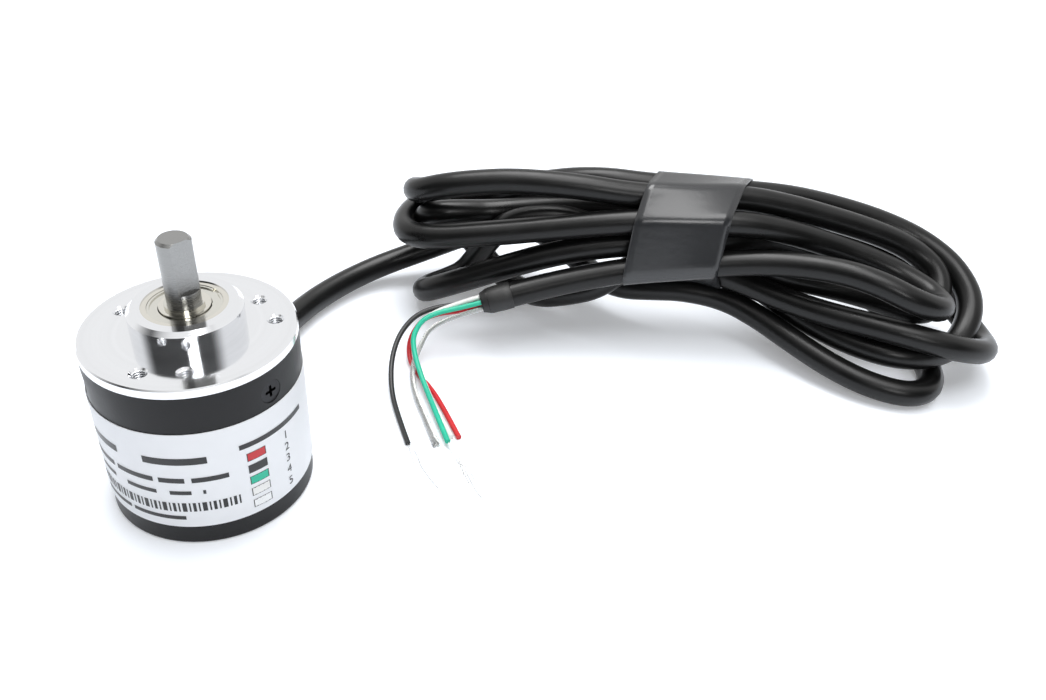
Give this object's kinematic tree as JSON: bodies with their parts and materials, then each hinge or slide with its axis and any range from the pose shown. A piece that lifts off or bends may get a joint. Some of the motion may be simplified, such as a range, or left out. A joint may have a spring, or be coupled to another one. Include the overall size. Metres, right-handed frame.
{
  "type": "rotary shaft encoder",
  "caption": "Round cabled shaft encoder: turned flange with pilot boss and D-flat shaft, black cover with wrap label, code disc inside, and a taped hank of cable with stripped wires.",
  "frame": {"origin": "centre of the cover's rear face, which it stands on", "axes": "+Z along the shaft towards its free end, +Y the way the cable leaves, +X along the cable hank"},
  "size_m": [0.1997, 0.1072, 0.0535],
  "materials": {
    "turned_aluminium": "bright turned",
    "black_painted_metal": "satin black",
    "label_film": "semi-gloss film",
    "black_steel": "black oxide",
    "bearing_steel": "polished",
    "pressed_steel": "pressed",
    "shaft_steel": "ground",
    "etched_steel": "etched",
    "black_plastic": "moulded",
    "clear_resin": "clear",
    "mask_glass": "polished",
    "brass": "turned",
    "tinned_metal": "tinned",
    "green_laminate": "solder mask",
    "tan_ceramic": "ceramic",
    "dark_ceramic": "ceramic",
    "white_plastic": "moulded",
    "core_plastic": "insulation",
    "cable_rubber": "satin jacket",
    "grey_tape": "glossy tape",
    "shrink_sleeve": "shrunk",
    "black_wire": "insulation",
    "green_wire": "insulation",
    "red_wire": "insulation"
  },
  "bodies": {
    "stator": {"flange": "turned_aluminium", "cover": "black_painted_metal", "label": "label_film", "cover_screws": "black_steel", "front_bearing_outer_ring": "bearing_steel", "front_bearing_shields": "pressed_steel", "front_bearing_shield_rings": "pressed_steel", "rear_bearing_outer_ring": "bearing_steel", "rear_bearing_shields": "pressed_steel", "rear_bearing_shield_rings": "pressed_steel", "spring_washer": "pressed_steel", "board_screws": "pressed_steel", "led_holder_screws": "pressed_steel", "led_holder": "black_plastic", "signal_chip": "black_plastic", "photo_sensor": "black_plastic", "led_emitter": "clear_resin", "sensor_mask": "mask_glass", "board_standoffs": "brass", "led_pins": "tinned_metal", "wire_shield": "tinned_metal", "circuit_board": "green_laminate", "chip_capacitors": "tan_ceramic", "chip_resistors": "dark_ceramic", "inner_cable_tie": "white_plastic", "wire_white": "white_plastic", "board_leads": "core_plastic", "cable_gland": "cable_rubber", "cable_lead": "cable_rubber", "cable_hank": "cable_rubber", "cable_tail": "cable_rubber", "hank_tape": "grey_tape", "tail_sleeve": "shrink_sleeve", "wire_black": "black_wire", "wire_green": "green_wire", "wire_red": "red_wire"},
    "rotor": {"shaft": "shaft_steel", "shaft_snap_ring": "pressed_steel", "front_bearing_inner_ring": "bearing_steel", "rear_bearing_inner_ring": "bearing_steel", "bearing_spacer": "turned_aluminium", "disc_hub": "turned_aluminium", "hub_grub_screw": "black_steel", "code_disc": "etched_steel", "disc_clamp_ring": "pressed_steel"},
    "front_ball_set": {"front_bearing_balls": "bearing_steel", "front_bearing_cage": "pressed_steel"},
    "rear_ball_set": {"rear_bearing_balls": "bearing_steel", "rear_bearing_cage": "pressed_steel"}
  },
  "joints": [
    {"name": "shaft_spin", "type": "hinge", "parent": "stator", "child": "rotor", "pos_m": [0, 0, 0.0355], "axis": [0, 0, 1], "continuous": true},
    {"name": "front_cage_spin", "type": "hinge", "parent": "stator", "child": "front_ball_set", "pos_m": [0, 0, 0.0378], "axis": [0, 0, 1], "continuous": true},
    {"name": "rear_cage_spin", "type": "hinge", "parent": "stator", "child": "rear_ball_set", "pos_m": [0, 0, 0.0265], "axis": [0, 0, 1], "continuous": true}
  ],
  "couplings": [
    {"joint": "front_cage_spin", "follows": "shaft_spin", "ratio": 0.38571},
    {"joint": "rear_cage_spin", "follows": "shaft_spin", "ratio": 0.38571}
  ]
}
